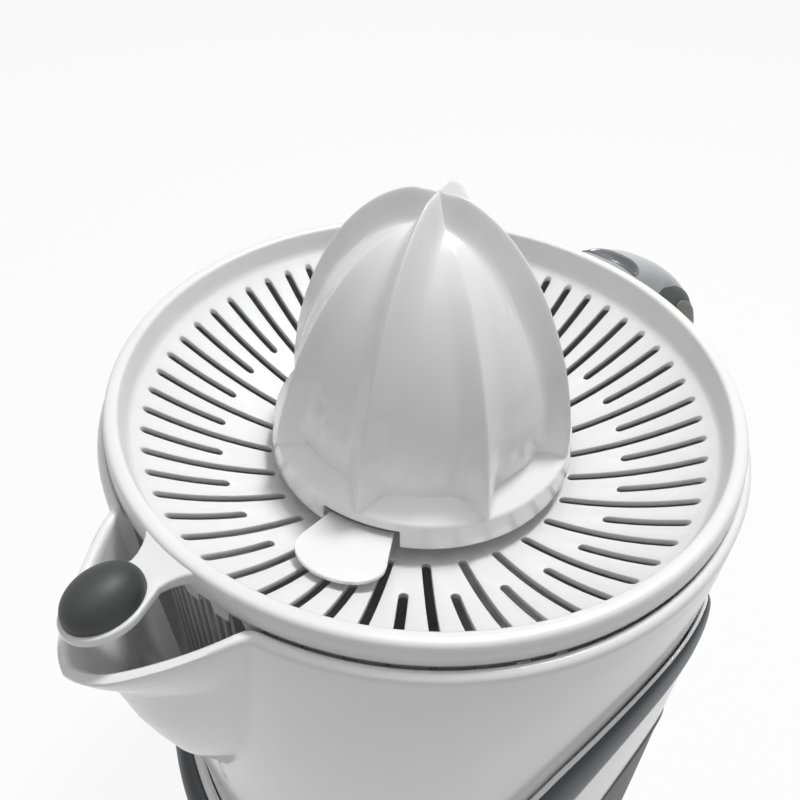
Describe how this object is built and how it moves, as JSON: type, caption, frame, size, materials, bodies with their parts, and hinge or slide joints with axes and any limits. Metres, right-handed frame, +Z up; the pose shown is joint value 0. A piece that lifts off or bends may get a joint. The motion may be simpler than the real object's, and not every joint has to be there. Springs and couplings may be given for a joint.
{
  "type": "citrus press juicer",
  "caption": "Electric citrus press with a spouted jug that lifts off a motor base, a slotted strainer tray and a two-part finned reamer driven by a shaft.",
  "frame": {"origin": "centre of the bounding box, on the table plane under the feet", "axes": "+Z up along the drive shaft, -Y towards the pouring spout, +Y towards the handle"},
  "size_m": [0.1654, 0.2368, 0.2346],
  "materials": {
    "white_gloss": "glossy",
    "handle_white": "glossy",
    "trim_grey": "glossy",
    "soft_grey": "satin",
    "bright_inlay": "polished",
    "rubber_foot": "matte",
    "inner_plastic": "matte",
    "gear_plastic": "satin",
    "steel": "brushed",
    "bearing_brass": "satin",
    "zinc_steel": "satin",
    "copper_winding": "satin",
    "seal_rubber": "matte",
    "black_plastic": "matte"
  },
  "bodies": {
    "base": {"base_housing": "white_gloss", "base_trim_ring": "trim_grey", "side_grip_right": "soft_grey", "side_grip_left": "soft_grey", "base_bottom_plate": "white_gloss", "foot_1": "rubber_foot", "foot_2": "rubber_foot", "foot_3": "rubber_foot", "foot_4": "rubber_foot", "plate_screw_1": "steel", "plate_screw_2": "steel", "plate_screw_3": "steel", "plate_screw_4": "steel", "cord_inlet": "black_plastic", "motor_can": "zinc_steel", "stator_coil": "copper_winding", "gearbox_plate": "zinc_steel", "gearbox_cover": "inner_plastic", "gearbox_pillar_1": "bearing_brass", "gearbox_pillar_2": "bearing_brass", "gearbox_pillar_3": "bearing_brass", "layshaft_pin": "steel", "lower_bush": "bearing_brass", "upper_bush": "bearing_brass", "shaft_seal": "seal_rubber", "spring_seat": "inner_plastic", "microswitch": "black_plastic", "return_spring": "steel"},
    "press_carriage": {"thrust_cup": "gear_plastic", "switch_button": "gear_plastic"},
    "drive_shaft": {"drive_shaft": "steel"},
    "rotor": {"motor_rotor": "steel", "motor_pinion": "steel"},
    "layshaft": {"layshaft_gear": "gear_plastic"},
    "output": {"output_gear": "gear_plastic"},
    "jug": {"jug_body": "white_gloss", "jug_handle": "handle_white", "handle_grip": "soft_grey", "handle_inlay": "bright_inlay"},
    "tray": {"strainer_tray": "white_gloss", "thumb_pad": "soft_grey"},
    "thrust": {"thrust_ring": "gear_plastic"},
    "small_cone": {"small_cone": "white_gloss"},
    "large_cone": {"large_cone": "white_gloss"}
  },
  "joints": [
    {"name": "jug_lift", "type": "slide", "parent": "base", "child": "jug", "axis": [0, 0, 1], "range_m": [0, 0.13]},
    {"name": "tray_lift", "type": "slide", "parent": "jug", "child": "tray", "axis": [0, 0, 1], "range_m": [0, 0.06]},
    {"name": "shaft_press", "type": "slide", "parent": "base", "child": "press_carriage", "axis": [0, 0, 1], "range_m": [-0.001, 0], "stiffness_N_per_m": 2000, "springref_m": 0.003, "deforming": ["return_spring"]},
    {"name": "cone_press", "type": "slide", "parent": "tray", "child": "thrust", "axis": [0, 0, 1], "range_m": [-0.001, 0]},
    {"name": "cone_spin", "type": "hinge", "parent": "thrust", "child": "small_cone", "pos_m": [0, -0.021, 0.17], "axis": [0, 0, 1], "continuous": true},
    {"name": "large_cone_lift", "type": "slide", "parent": "small_cone", "child": "large_cone", "axis": [0, 0, 1], "range_m": [0, 0.06]},
    {"name": "shaft_spin", "type": "hinge", "parent": "press_carriage", "child": "drive_shaft", "pos_m": [0, -0.021, 0.04], "axis": [0, 0, 1], "continuous": true},
    {"name": "output_gear_spin", "type": "hinge", "parent": "base", "child": "output", "pos_m": [0, -0.021, 0.045], "axis": [0, 0, 1], "continuous": true},
    {"name": "layshaft_spin", "type": "hinge", "parent": "base", "child": "layshaft", "pos_m": [0, 0.009, 0.04], "axis": [0, 0, 1], "continuous": true},
    {"name": "rotor_spin", "type": "hinge", "parent": "base", "child": "rotor", "pos_m": [-0.02898, 0.00124, 0.02], "axis": [0, 0, 1], "continuous": true}
  ],
  "couplings": [
    {"joint": "cone_press", "follows": "shaft_press", "ratio": 1},
    {"joint": "shaft_spin", "follows": "cone_spin", "ratio": 1},
    {"joint": "output_gear_spin", "follows": "cone_spin", "ratio": 1},
    {"joint": "layshaft_spin", "follows": "cone_spin", "ratio": -3},
    {"joint": "rotor_spin", "follows": "cone_spin", "ratio": 9}
  ]
}
